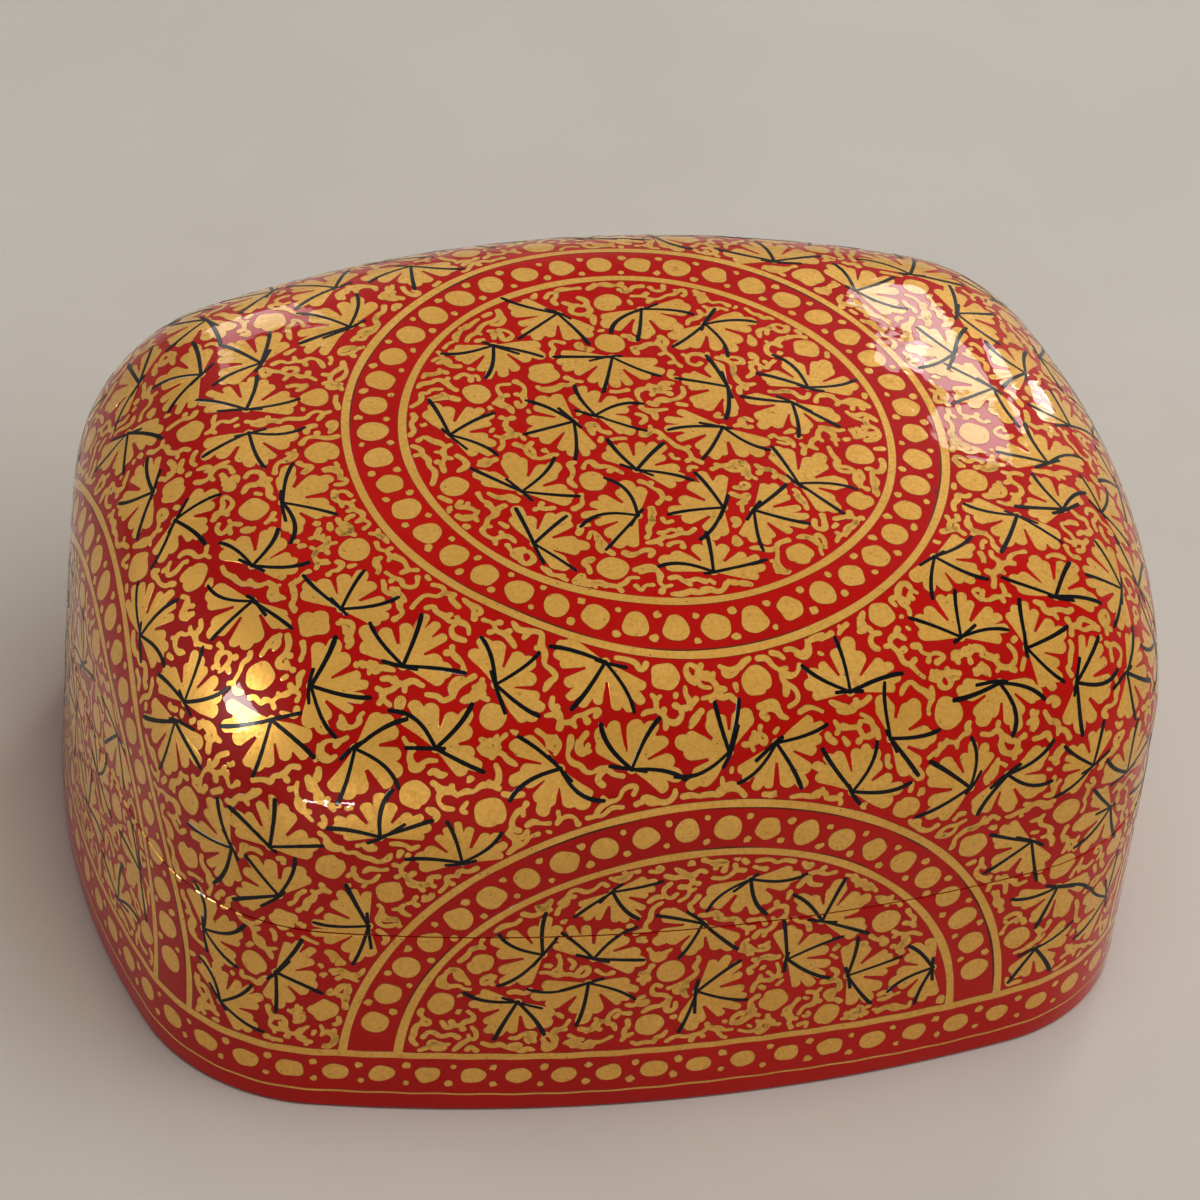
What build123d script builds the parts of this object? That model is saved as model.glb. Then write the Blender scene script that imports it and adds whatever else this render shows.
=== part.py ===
from build123d import *

import math
import os

# A lidded papier mache box with a cushion-shaped plan and a domed lid, in millimetres.
# +X runs along the long side, +Y to the back, +Z up; the origin is the centre of the underside.
# Base and lid are shells of pressed paper pulp under a hard coat of gesso and lacquer.
# The lid lifts straight off, and a collar glued inside the base keeps it in place.

# The outside
length = 150.0
width = 115.7
height = 76.7
seam_height = 33.6          # where the lid meets the base
long_side_bulge = 12.5      # how far the arc of a long side swells over the full length
short_side_bulge = 14.2     # and the arc of a short side, over the full width
corner_radius = 27.3
crown_radius = 328.0        # the top of the lid is part of a large sphere
shoulder_radius = 26.5      # the round between the top of the lid and its walls
foot_draw_in = 0.8          # the base is this much smaller all round at the table
crown_headroom = 5.0        # the lid's walls start this much too tall, and the crown trims them

# The make-up of the walls, from outside to inside
coat_thickness = 0.6
pulp_thickness = 3.0
coat_edge_round = 0.35      # the coat's softened edges, at the seam
coat_foot_gap = 0.5         # the coat stops this far above the table

floor_thickness = 3.0
floor_edge_round = 0.4

# The collar that locates the lid
collar_thickness = 1.6
collar_glued_height = 9.0   # below the seam, against the wall
collar_free_height = 4.5    # above the seam, inside the lid
collar_edge_round = 0.5
lid_clearance = 0.35        # the free part is sanded back by this much

pulp_inset = coat_thickness
cavity_inset = coat_thickness + pulp_thickness


def arc_radius(half_chord, bulge):
    """The radius of an arc that swells by bulge over its whole chord."""
    return (half_chord**2 + bulge**2) / (2 * bulge)


def outline(inset):
    """The plan, moved in by inset: four wide arcs joined by four corner arcs, all tangent."""
    long_radius = arc_radius(length / 2, long_side_bulge)
    short_radius = arc_radius(width / 2, short_side_bulge)
    long_centre = width / 2 - long_radius
    short_centre = length / 2 - short_radius
    long_disc = Circle(long_radius - inset)
    short_disc = Rot(0, 0, 90) * Circle(short_radius - inset)
    plan = Pos(0, long_centre) * long_disc & Pos(0, -long_centre) * long_disc
    plan = plan & Pos(short_centre, 0) * short_disc & Pos(-short_centre, 0) * short_disc
    return fillet(plan.vertices(), corner_radius - inset)


def prism(inset, bottom, top):
    """Upright walls between two heights."""
    return extrude(Pos(0, 0, bottom) * outline(inset), amount=top - bottom)


def base_block(inset, bottom):
    """The solid shape of the base below the seam, drawn in towards the table."""
    draw_in = foot_draw_in * (seam_height - bottom) / seam_height
    foot = Pos(0, 0, bottom) * outline(inset + draw_in)
    rim = Pos(0, 0, seam_height) * outline(inset)
    return loft([foot, rim], ruled=True)


def lid_block(inset):
    """The solid shape of the lid above the seam: upright walls, round shoulder, crown."""
    ball = Rot(0, 90, 0) * Sphere(crown_radius - inset)
    walls = prism(inset, seam_height, height + crown_headroom)
    block = walls & Pos(0, 0, height - crown_radius) * ball
    lowest_rim = seam_height + shoulder_radius
    rim = block.edges().filter_by(lambda edge: edge.center().Z > lowest_rim)
    return fillet(rim, shoulder_radius - inset)


def edges_at(solid, level):
    """All edges of a solid that lie at one height."""
    return solid.edges().filter_by(
        lambda edge: all(abs((edge @ t).Z - level) < 1e-3 for t in (0, 0.5, 1))
    )


def make_base_coat():
    outside = base_block(0, coat_foot_gap)
    outside = fillet(edges_at(outside, seam_height), coat_edge_round)
    return outside - base_block(pulp_inset, 0)


def make_base_wall():
    shell = base_block(pulp_inset, floor_thickness)
    return shell - prism(cavity_inset, floor_thickness, seam_height)


def make_base_floor():
    board = base_block(pulp_inset, 0) - base_block(pulp_inset, floor_thickness)
    return fillet(edges_at(board, 0), floor_edge_round)


def make_collar():
    bottom = seam_height - collar_glued_height
    top = seam_height + collar_free_height
    glued_part = prism(cavity_inset, bottom, seam_height)
    free_part = prism(cavity_inset + lid_clearance, seam_height, top)
    collar = glued_part + free_part - prism(cavity_inset + collar_thickness, bottom, top)
    return fillet(edges_at(collar, top), collar_edge_round)


def make_lid_coat():
    outside = lid_block(0)
    outside = fillet(edges_at(outside, seam_height), coat_edge_round)
    return outside - lid_block(pulp_inset)


def make_lid_shell():
    return lid_block(pulp_inset) - lid_block(cavity_inset)


pieces = {
    "base_coat": make_base_coat(),
    "base_wall": make_base_wall(),
    "base_floor": make_base_floor(),
    "locating_collar": make_collar(),
    "lid_coat": make_lid_coat(),
    "lid_shell": make_lid_shell(),
}

os.makedirs("parts", exist_ok=True)
for name, piece in pieces.items():
    export_step(piece, os.path.join("parts", name + ".step"))
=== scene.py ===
import math

import bmesh
import bpy
import numpy as np
from mathutils import Matrix, Vector
from mathutils.bvhtree import BVHTree


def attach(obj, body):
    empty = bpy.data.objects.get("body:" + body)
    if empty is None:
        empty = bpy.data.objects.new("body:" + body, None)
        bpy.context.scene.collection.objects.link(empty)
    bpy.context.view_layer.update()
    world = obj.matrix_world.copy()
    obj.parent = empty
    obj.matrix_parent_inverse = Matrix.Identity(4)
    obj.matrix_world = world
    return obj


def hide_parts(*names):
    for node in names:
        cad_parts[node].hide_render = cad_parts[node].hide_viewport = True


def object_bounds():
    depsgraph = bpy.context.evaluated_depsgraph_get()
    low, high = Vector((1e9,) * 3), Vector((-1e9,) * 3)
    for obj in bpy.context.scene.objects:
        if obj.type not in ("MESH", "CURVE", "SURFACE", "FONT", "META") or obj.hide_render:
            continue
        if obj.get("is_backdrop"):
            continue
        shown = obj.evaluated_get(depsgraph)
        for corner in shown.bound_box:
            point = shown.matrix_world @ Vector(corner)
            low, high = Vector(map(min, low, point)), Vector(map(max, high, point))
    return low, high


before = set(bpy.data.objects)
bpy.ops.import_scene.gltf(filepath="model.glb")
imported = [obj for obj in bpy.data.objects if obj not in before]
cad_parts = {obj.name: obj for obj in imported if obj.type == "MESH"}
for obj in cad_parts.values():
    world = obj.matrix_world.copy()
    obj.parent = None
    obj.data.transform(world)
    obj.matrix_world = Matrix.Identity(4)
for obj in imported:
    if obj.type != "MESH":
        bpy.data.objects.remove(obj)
cad_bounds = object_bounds()

# All shapes below are worked out in millimetres and turned into metres when a mesh is made.
MM = 0.001
SHARP_ANGLE = math.radians(12)  # between a painted shape's face and its edge

# ---------------------------------------------------------------- the box's outside

LENGTH = 150.0
WIDTH = 115.7
HEIGHT = 76.7
SEAM = 33.6                 # height where the lid meets the base
LONG_BULGE = 12.5
SHORT_BULGE = 14.2
CORNER_RADIUS = 27.3
CROWN_RADIUS = 328.0
SHOULDER_RADIUS = 26.5
FOOT_DRAW_IN = 0.8
COAT = 0.6                  # thickness of the lacquered coat
EDGE_ROUND = 0.30           # softened edges of the coat at the seam
FOOT_ROUND = 0.7            # softened lower edge of the coat
CROWN_CENTRE = HEIGHT - CROWN_RADIUS

COLUMNS = 560               # around the outline, for the ground
FIELD_SEED = 11


def arc_radius(half_chord, bulge):
    return (half_chord**2 + bulge**2) / (2 * bulge)


LONG_RADIUS = arc_radius(LENGTH / 2, LONG_BULGE)
SHORT_RADIUS = arc_radius(WIDTH / 2, SHORT_BULGE)
LONG_CENTRE = WIDTH / 2 - LONG_RADIUS
SHORT_CENTRE = LENGTH / 2 - SHORT_RADIUS


def corner_centre():
    """Centre of the front right corner's arc, one corner radius inside both side arcs."""
    to_long = LONG_RADIUS - CORNER_RADIUS
    to_short = SHORT_RADIUS - CORNER_RADIUS
    spacing = math.hypot(SHORT_CENTRE, LONG_CENTRE)
    along = (to_long**2 - to_short**2 + spacing**2) / (2 * spacing)
    aside = math.sqrt(to_long**2 - along**2)
    unit_x = SHORT_CENTRE / spacing
    unit_y = -LONG_CENTRE / spacing
    x = along * unit_x + aside * unit_y
    y = LONG_CENTRE + along * unit_y - aside * unit_x
    return x, -y


def outline_arcs():
    """The arcs of the outline, from the middle of the front anticlockwise seen from above.

    Each is (centre x, centre y, radius, first direction, sweep), directions in radians.
    """
    corner_x, corner_y = corner_centre()
    front = -math.pi / 2
    long_half = math.atan2(corner_x, -corner_y - LONG_CENTRE)
    short_half = math.atan2(-corner_y, corner_x - SHORT_CENTRE)
    corner = math.pi / 2 - long_half - short_half
    arcs = []
    for turn in (0.0, math.pi):
        sign = 1 if turn == 0.0 else -1
        arcs += [
            (0, -sign * LONG_CENTRE, LONG_RADIUS, turn + front, long_half),
            (sign * corner_x, sign * corner_y, CORNER_RADIUS, turn + front + long_half, corner),
            (sign * SHORT_CENTRE, 0, SHORT_RADIUS, turn - short_half, 2 * short_half),
            (sign * corner_x, -sign * corner_y, CORNER_RADIUS, turn + short_half, corner),
            (0, sign * LONG_CENTRE, LONG_RADIUS, turn - front - long_half, long_half),
        ]
    return np.array(arcs)


ARCS = outline_arcs()
ARC_STARTS = np.concatenate([[0.0], np.cumsum(ARCS[:, 2] * ARCS[:, 4])])
PERIMETER = ARC_STARTS[-1]
QUARTER = PERIMETER / 4


def outline(along):
    """Positions and outward normals on the outline, at distances along it."""
    along = np.mod(along, PERIMETER)
    which = np.clip(np.searchsorted(ARC_STARTS, along, side="right") - 1, 0, len(ARCS) - 1)
    centre_x, centre_y, radius, first, _ = ARCS[which].T
    angle = first + (along - ARC_STARTS[which]) / radius
    normal = np.stack([np.cos(angle), np.sin(angle)], -1)
    centre = np.stack([centre_x, centre_y], -1)
    return centre + radius[..., None] * normal, normal


def wall_inset(z):
    """How far the base wall is drawn in at a height."""
    return FOOT_DRAW_IN * np.clip(1 - z / SEAM, 0, 1)


def shoulder(along):
    """The ball that rolls round the shoulder: its centre and the two directions it spans."""
    position, normal = outline(along)
    flat = position - SHOULDER_RADIUS * normal
    reach = CROWN_RADIUS - SHOULDER_RADIUS
    rise = np.sqrt(reach**2 - (flat**2).sum(-1))
    centre = np.concatenate([flat, (CROWN_CENTRE + rise)[..., None]], -1)
    outward = np.concatenate([normal, np.zeros_like(normal[..., :1])], -1)
    upward = np.concatenate([flat, rise[..., None]], -1) / reach
    return centre, outward, upward


def section(along, up):
    """Points on the outside at a distance along the outline and a distance up from the table."""
    position, normal = outline(along)
    centre, outward, upward = shoulder(along)
    wall = np.concatenate([position - normal * wall_inset(up)[..., None], up[..., None]], -1)
    span = np.arccos((outward * upward).sum(-1))
    turned = np.clip((up - centre[..., 2]) / SHOULDER_RADIUS, 0, span)
    first = np.sin(span - turned) / np.sin(span)
    last = np.sin(turned) / np.sin(span)
    direction = outward * first[..., None] + upward * last[..., None]
    rounded = centre + SHOULDER_RADIUS * direction
    return np.where((up > centre[..., 2])[..., None], rounded, wall)


def crown(x, y):
    """Points on the crown above x and y."""
    z = CROWN_CENTRE + np.sqrt(CROWN_RADIUS**2 - x**2 - y**2)
    return np.stack([x, y, z], -1)


# ---------------------------------------------------------------- meshes


def grid(rows, columns, round_columns=True, round_rows=False):
    """Quads of a grid of rows by columns, joined round the columns, the rows or both."""
    row = np.arange(rows if round_rows else rows - 1)[:, None]
    column = np.arange(columns if round_columns else columns - 1)[None, :]
    above = (row + 1) % rows
    after = (column + 1) % columns
    corners = [row * columns + column, row * columns + after,
               above * columns + after, above * columns + column]
    return np.stack(corners, -1).reshape(-1, 4)


def halved(quads):
    """Two triangles for each quad."""
    return np.concatenate([quads[:, [0, 1, 2]], quads[:, [0, 2, 3]]])


def fan(tip, first, count, upright=True):
    """Triangles that close a ring of points round a tip."""
    ring = np.arange(count)
    after = (ring + 1) % count
    order = [first + ring, first + after] if upright else [first + after, first + ring]
    return np.stack(order + [np.full(count, tip)], -1)


def make_mesh(name, points, faces, materials, slots=None):
    """A smooth mesh object from points in millimetres and an array or list of faces."""
    mesh = bpy.data.meshes.new(name)
    mesh.from_pydata((points * MM).tolist(), [], faces)
    for material in materials:
        mesh.materials.append(material)
    if slots is not None:
        mesh.polygons.foreach_set("material_index", np.asarray(slots, dtype=np.int32))
    mesh.polygons.foreach_set("use_smooth", np.ones(len(mesh.polygons), dtype=bool))
    mesh.validate()
    mesh.set_sharp_from_angle(angle=SHARP_ANGLE)
    piece = bpy.data.objects.new(name, mesh)
    bpy.context.scene.collection.objects.link(piece)
    return piece


LID_WALL_ROWS = 9
SHOULDER_ROWS = 30
CROWN_ROWS = 46
BASE_ROWS = 22


def outside_rows(along, lowest):
    """Rows of points from a height on the lid's wall up over the shoulder to the crown's centre."""
    centre, outward, upward = shoulder(along)
    top = centre[:, 2]
    rows = []
    for part in np.linspace(0, 1, LID_WALL_ROWS, endpoint=False):
        rows.append(section(along, lowest + (top - lowest) * part))
    span = np.arccos((outward * upward).sum(-1)) * SHOULDER_RADIUS
    for part in np.linspace(0, 1, SHOULDER_ROWS, endpoint=False):
        rows.append(section(along, top + span * part))
    edge = centre + SHOULDER_RADIUS * upward
    for part in np.linspace(1, 0, CROWN_ROWS, endpoint=False):
        rows.append(crown(edge[:, 0] * part, edge[:, 1] * part))
    return rows


def inset_row(along, inset, z):
    """A level row of points, moved in from the outline."""
    position, normal = outline(along)
    flat = position - normal * inset
    return np.concatenate([flat, np.full((len(flat), 1), z)], -1)


def columns_along():
    return np.arange(COLUMNS) * PERIMETER / COLUMNS


# ---------------------------------------------------------------- the outside as one surface


class Outside:
    """The whole outside as fine triangles, to lay paint on."""

    def __init__(self):
        along = columns_along()
        levels = np.linspace(0, SEAM, BASE_ROWS, endpoint=False)
        rows = [section(along, np.full(COLUMNS, level)) for level in levels]
        rows += outside_rows(along, SEAM)
        points = np.concatenate(rows + [crown(np.zeros(1), np.zeros(1))])
        tip = fan(len(points) - 1, (len(rows) - 1) * COLUMNS, COLUMNS)
        triangles = np.concatenate([halved(grid(len(rows), COLUMNS)), tip])
        self.points = points
        self.triangles = triangles
        corners = points[triangles]
        across = np.cross(corners[:, 1] - corners[:, 0], corners[:, 2] - corners[:, 0])
        self.areas = np.linalg.norm(across, axis=1) / 2
        normals = np.zeros_like(points)
        for corner in range(3):
            np.add.at(normals, triangles[:, corner], across)
        self.normals = normals / np.linalg.norm(normals, axis=1)[:, None]
        self.tree = BVHTree.FromPolygons(points.tolist(), triangles.tolist(), all_triangles=True)

    def drop(self, points):
        """The nearest points on the outside, and the smooth normals there."""
        found = [self.tree.find_nearest(p) for p in np.asarray(points).tolist()]
        spots = np.array([f[0] for f in found])
        corners = self.points[self.triangles[[f[2] for f in found]]]
        first = corners[:, 1] - corners[:, 0]
        second = corners[:, 2] - corners[:, 0]
        away = spots - corners[:, 0]
        a = (first * first).sum(1)
        b = (first * second).sum(1)
        c = (second * second).sum(1)
        d = (away * first).sum(1)
        e = (away * second).sum(1)
        scale = a * c - b * b
        share = np.stack([(c * d - b * e) / scale, (a * e - b * d) / scale], -1)
        weights = np.concatenate([1 - share.sum(1, keepdims=True), share], -1)
        normals = self.normals[self.triangles[[f[2] for f in found]]]
        blended = (normals * weights[:, :, None]).sum(1)
        return spots, blended / np.linalg.norm(blended, axis=1)[:, None]

    def below(self, x, y):
        """The points of the outside straight below or above places in plan."""
        places = np.stack([x, y], -1).tolist()
        down = (0, 0, -1)
        return np.array([self.tree.ray_cast((px, py, 2 * HEIGHT), down)[0] for px, py in places])

    def nearest(self, point):
        """The nearest point and the face's normal, for one point."""
        spot, normal, _, _ = self.tree.find_nearest(point)
        return np.array(spot), np.array(normal)

    def scatter(self, count, chance):
        """Points spread evenly at random over the outside."""
        share = self.areas / self.areas.sum()
        chosen = self.points[self.triangles[chance.choice(len(share), count, p=share)]]
        u = np.sqrt(chance.random((count, 1)))
        v = chance.random((count, 1))
        return chosen[:, 0] * (1 - u) + chosen[:, 1] * u * (1 - v) + chosen[:, 2] * u * v


def tangents(normal, turn):
    """Two directions along the surface, square to each other, the first turned by an angle."""
    side = np.cross(normal, [0.31, 0.94, 0.12])
    side /= np.linalg.norm(side)
    other = np.cross(normal, side)
    first = side * math.cos(turn) + other * math.sin(turn)
    return first, np.cross(normal, first)


# ---------------------------------------------------------------- where paint already is


class Taken:
    """A fine block of cells that remembers where paint lies, so that new strokes keep clear."""

    CELL = 0.30
    MARGIN = 4.0

    def __init__(self):
        self.low = np.array([-LENGTH / 2, -WIDTH / 2, 0]) - self.MARGIN
        high = np.array([LENGTH / 2, WIDTH / 2, HEIGHT]) + self.MARGIN
        self.size = np.ceil((high - self.low) / self.CELL).astype(int)
        self.cells = np.zeros(self.size, dtype=bool)

    def mark(self, points, radius):
        """Takes every cell within a radius of the points."""
        reach = int(radius / self.CELL) + 1
        steps = np.arange(-reach, reach + 1)
        ball = np.stack(np.meshgrid(steps, steps, steps, indexing="ij"), -1).reshape(-1, 3)
        ball = ball[np.linalg.norm(ball, axis=1) * self.CELL <= radius]
        spots = np.unique(((points - self.low) / self.CELL).astype(int), axis=0)
        cells = (spots[:, None, :] + ball[None, :, :]).reshape(-1, 3)
        cells = np.clip(cells, 0, self.size - 1)
        self.cells[cells[:, 0], cells[:, 1], cells[:, 2]] = True

    def fill_below(self, level):
        self.cells[:, :, : int((level - self.low[2]) / self.CELL)] = True

    def free(self, points):
        """Whether every one of the points lies in a cell that isn't taken."""
        cells = ((np.reshape(points, (-1, 3)) - self.low) / self.CELL).astype(int)
        return not self.cells[cells[:, 0], cells[:, 1], cells[:, 2]].any()


# ---------------------------------------------------------------- brush strokes and filled shapes

GOLD_LIFT = 0.032           # gold paint stands this proud of the lacquer
BLACK_LIFT = 0.06
# painted shade: the faint dark strokes beside the gold lines stand this proud
PAINTED_SHADE_LIFT = 0.018
EDGE_WIDTH = 0.11           # the dark edge round each gold shape
SINK = 0.03                 # edges end this far under the lacquer's face
PAINT, EDGE = 0, 1          # material slots of a painted piece


def corners_cut(path, times):
    """A path with its corners cut, again and again, so that it bends smoothly."""
    for _ in range(times):
        near = path[:-1] * 0.75 + path[1:] * 0.25
        far = path[:-1] * 0.25 + path[1:] * 0.75
        between = np.stack([near, far], 1).reshape(-1, 3)
        path = np.concatenate([path[:1], between, path[-1:]])
    return path


def rounded_ends(path, widths):
    """A path, its widths and its rise above the lacquer, with a round end added at each side."""
    parts = np.array([1.0, 0.72])
    narrowed = np.sqrt(1 - parts**2) + 0.02
    rise = np.array([0.0, 0.9])
    first = path[0] - path[1]
    last = path[-1] - path[-2]
    first = first / np.linalg.norm(first) * widths[0] / 2
    last = last / np.linalg.norm(last) * widths[-1] / 2
    path = np.concatenate([path[0] + parts[:, None] * first, path,
                           path[-1] + parts[::-1, None] * last])
    rise = np.concatenate([rise, np.ones(len(widths)), rise[::-1]])
    widths = np.concatenate([widths[0] * narrowed, widths, widths[-1] * narrowed[::-1]])
    return path, widths, rise


def stroke(layer, path, widths, lift, closed=False, edge=EDGE_WIDTH):
    """A brush stroke along a path, with edges that run down into the lacquer."""
    widths = np.broadcast_to(widths, len(path)).astype(float)
    rise = np.ones(len(path))
    if not closed:
        path, widths, rise = rounded_ends(path, widths)
    spots, normals = outside.drop(path)
    if closed:
        ahead = np.roll(spots, -1, 0) - np.roll(spots, 1, 0)
    else:
        ahead = np.gradient(spots, axis=0)
    sides = np.cross(normals, ahead)
    sides /= np.linalg.norm(sides, axis=1)[:, None]
    half = widths[:, None] / 2
    up = normals * lift * rise[:, None]
    lanes = [
        spots - sides * (half + edge) - normals * SINK,
        spots - sides * half + up,
        spots + sides * half + up,
        spots + sides * (half + edge) - normals * SINK,
    ]
    points = np.stack(lanes, 0).reshape(-1, 3)
    quads = grid(len(lanes), len(spots), round_columns=closed)
    lane = quads[:, 0] // len(spots)
    slots = np.where((lane == 0) | (lane == len(lanes) - 2), EDGE, PAINT)
    layer.append((points, halved(quads), np.tile(slots, 2)))
    return spots


def patch(layer, centre, first, second, angles, reach, rings, curl=0.0, lift=GOLD_LIFT):
    """A filled shape round a centre, whose rim is at its own distance in each direction.

    curl turns the outer parts further round than the inner ones.
    """
    count = len(angles)
    widest = reach.max()
    flat = [np.zeros((1, 2))]
    lifts = [np.array([lift * 1.2])]
    for ring in range(1, rings + 1):
        away = reach * ring / rings
        turned = angles + curl * (away / widest) ** 2
        flat.append(away[:, None] * np.stack([np.cos(turned), np.sin(turned)], -1))
        lifts.append(np.full(count, lift * (1.2 - 0.3 * ring / rings)))
    ahead = np.roll(flat[-1], -1, 0) - np.roll(flat[-1], 1, 0)
    ahead /= np.linalg.norm(ahead, axis=1)[:, None]
    flat.append(flat[-1] + EDGE_WIDTH * np.stack([ahead[:, 1], -ahead[:, 0]], -1))
    lifts.append(np.full(count, -SINK))
    spots, normals = outside.drop(centre + np.concatenate(flat) @ np.stack([first, second]))
    points = spots + normals * np.concatenate(lifts)[:, None]
    quads = grid(rings + 1, count) + 1
    slots = np.where(quads[:, 0] > (rings - 1) * count, EDGE, PAINT)
    triangles = np.concatenate([halved(quads[:, ::-1]), fan(0, 1, count)])
    layer.append((points, triangles, np.concatenate([slots, slots, np.full(count, PAINT)])))
    return spots[: 1 + rings * count]


def blob(layer, centre, radius, uneven=0.05, notches=0, long_way=None, stretch=1.0):
    """A painted dot, a little uneven, with notches where the brush has missed."""
    _, normal = outside.nearest(centre)
    if long_way is None:
        first, second = tangents(normal, chance.random() * math.tau)
    else:
        second = np.cross(normal, long_way)
        first = np.cross(second, normal)
        first, second = first / np.linalg.norm(first), second / np.linalg.norm(second)
    count = 26 if radius > 1 else 14
    angles = np.arange(count) * math.tau / count
    reach = np.full(count, float(radius))
    for wave in (2, 3, 4, 5):
        reach *= 1 + uneven * chance.normal() / wave**0.5 * np.cos(wave * angles + chance.random() * 7)
    for _ in range(notches):
        away = np.angle(np.exp(1j * (angles - chance.random() * math.tau)))
        reach -= radius * chance.uniform(0.1, 0.22) * np.exp(-(away / 0.2) ** 2)
    reach *= np.hypot(np.cos(angles) * stretch, np.sin(angles) / stretch)
    return patch(layer, centre, first, second, angles, reach, 3 if radius > 1 else 1)


# ---------------------------------------------------------------- chinar leaves

LEAF_SPREAD = math.radians(206)     # from the edge of the first lobe to that of the last
LEAF_SLIT = math.radians(9.5)       # the gap between two lobes
SLIT_FLOOR = 0.40                   # how far out the slits between lobes end
HEEL = 0.09                         # the little that a leaf reaches behind its base
LEAF_STEP = math.radians(2.1)
LEAF_RINGS = 4


def leaf_lobes():
    """The lobes of a leaf of length 1, each a large disc with smaller ones round its far side.

    Each disc is (direction from the leaf's base, distance from it, radius).
    """
    count = int(chance.choice([3, 4], p=[0.8, 0.2]))
    shares = 1 + 0.09 * chance.normal(size=count)
    widths = LEAF_SPREAD * shares / shares.sum()
    lobes = []
    for lobe, width in enumerate(widths):
        middle = -LEAF_SPREAD / 2 + widths[:lobe].sum() + width / 2
        half = (width - LEAF_SLIT) / 2
        tall = 1 + chance.uniform(-0.09, 0.09)
        away = tall * 0.76 / (1 + math.sin(half))
        discs = [(middle, away, away * math.sin(half))]
        scallops = int(chance.integers(3, 5)) if half > 0.45 else 3
        for place in np.linspace(-1, 1, scallops):
            radius = chance.uniform(0.38, 0.48) / scallops
            reach = tall * (1 - 0.15 * place**2) + chance.normal() * 0.035
            direction = middle + place * (half - radius / (reach - radius)) + chance.normal() * 0.02
            discs.append((direction, reach - radius, radius))
        lobes.append(discs)
    return lobes


def leaf_rim(lobes):
    """Directions round a leaf's base, and its reach in each, for a leaf of length 1."""
    edges = []
    for middle, away, radius in (lobe[0] for lobe in lobes):
        half = math.asin(radius / away)
        edges.append((middle - half, middle + half))
    marks = [np.arange(edges[0][0], edges[-1][1], LEAF_STEP)]
    marks += [[first - 0.004, first + 0.004, last - 0.004, last + 0.004] for first, last in edges]
    behind = np.linspace(edges[-1][1] + 0.1, edges[0][0] + math.tau - 0.1, 9)
    angles = np.unique(np.concatenate(marks + [behind]))
    angles = angles[np.concatenate([[True], np.diff(angles) > 0.005])]
    within = (angles > edges[0][0]) & (angles < edges[-1][1])
    reach = np.where(within, SLIT_FLOOR * chance.uniform(0.9, 1.1), HEEL)
    for middle, away, radius in (disc for lobe in lobes for disc in lobe):
        turned = np.angle(np.exp(1j * (angles - middle)))
        beside = away * np.sin(turned)
        inside = (np.abs(beside) < radius) & (np.abs(turned) < math.pi / 2)
        outer = away * np.cos(turned) + np.sqrt(np.maximum(radius**2 - beside**2, 0))
        reach = np.where(inside, np.maximum(reach, outer), reach)
    return angles, reach


def leaf_fits(base, first, second, angles, away):
    """Whether a leaf at this place would keep clear of all paint so far."""
    ways = (np.cos(angles)[:, None] * first + np.sin(angles)[:, None] * second) * away[:, None]
    points = np.concatenate([base + ways, base + ways[1::2] * 0.7, base + ways[::2] * 0.4])
    return all(tight.free(outside.tree.find_nearest(p)[0]) for p in points.tolist())


def leaf(base, first, second, length, curl, lobes, rim):
    """A leaf with its black veins: one along each main lobe, and a stroke across its base."""
    angles, reach = rim
    painted = patch(layers["leaves"], base, first, second, angles, reach * length, LEAF_RINGS, curl)
    edge = painted[1 + (LEAF_RINGS - 1) * len(angles):]
    rows = [base + (edge - base) * part for part in np.linspace(0.1, 1, 12)]
    spots = outside.drop(np.concatenate(rows))[0]
    tight.mark(spots, 0.45)
    wide.mark(spots, 0.76)
    middles = [lobe[0][0] for lobe in lobes]
    if len(middles) > 3:
        del middles[int(chance.integers(1, 3))]
    for direction in middles:
        vein(base, first, second, direction + chance.normal() * 0.07, length, curl)
    slant = math.pi / 2 + chance.normal() * 0.35
    across = (math.cos(slant) * first + math.sin(slant) * second) * chance.choice([-1, 1])
    long = length * chance.uniform(0.28, 0.58)
    short = length * chance.uniform(0.14, 0.36)
    bend = first * length * chance.uniform(-0.05, 0.03)
    path = np.stack([base - across * short, base + bend, base + across * long])
    stroke(layers["veins"], corners_cut(path, 2), chance.uniform(0.38, 0.52), BLACK_LIFT)


def vein(base, first, second, direction, length, curl):
    """One black stroke from a leaf's base out through a lobe, thickening as it goes."""
    parts = np.linspace(-0.02, chance.uniform(1.0, 1.14), 10)
    bend = curl + chance.normal() * 0.10
    turned = direction + bend * parts**2
    away = length * parts
    path = base + away[:, None] * (np.cos(turned)[:, None] * first
                                   + np.sin(turned)[:, None] * second)
    widths = chance.uniform(0.38, 0.52) + chance.uniform(0.06, 0.20) * np.clip(parts, 0, 1) ** 1.5
    widths[-1] *= 0.8
    stroke(layers["veins"], path, widths, BLACK_LIFT)


# ---------------------------------------------------------------- scrolls that fill the ground

TWIG_WIDTH = 0.80
TWIG_STEP = (0.9, 1.6)
TWIG_CLEAR = 1.16           # from one twig's middle line to the next


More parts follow.
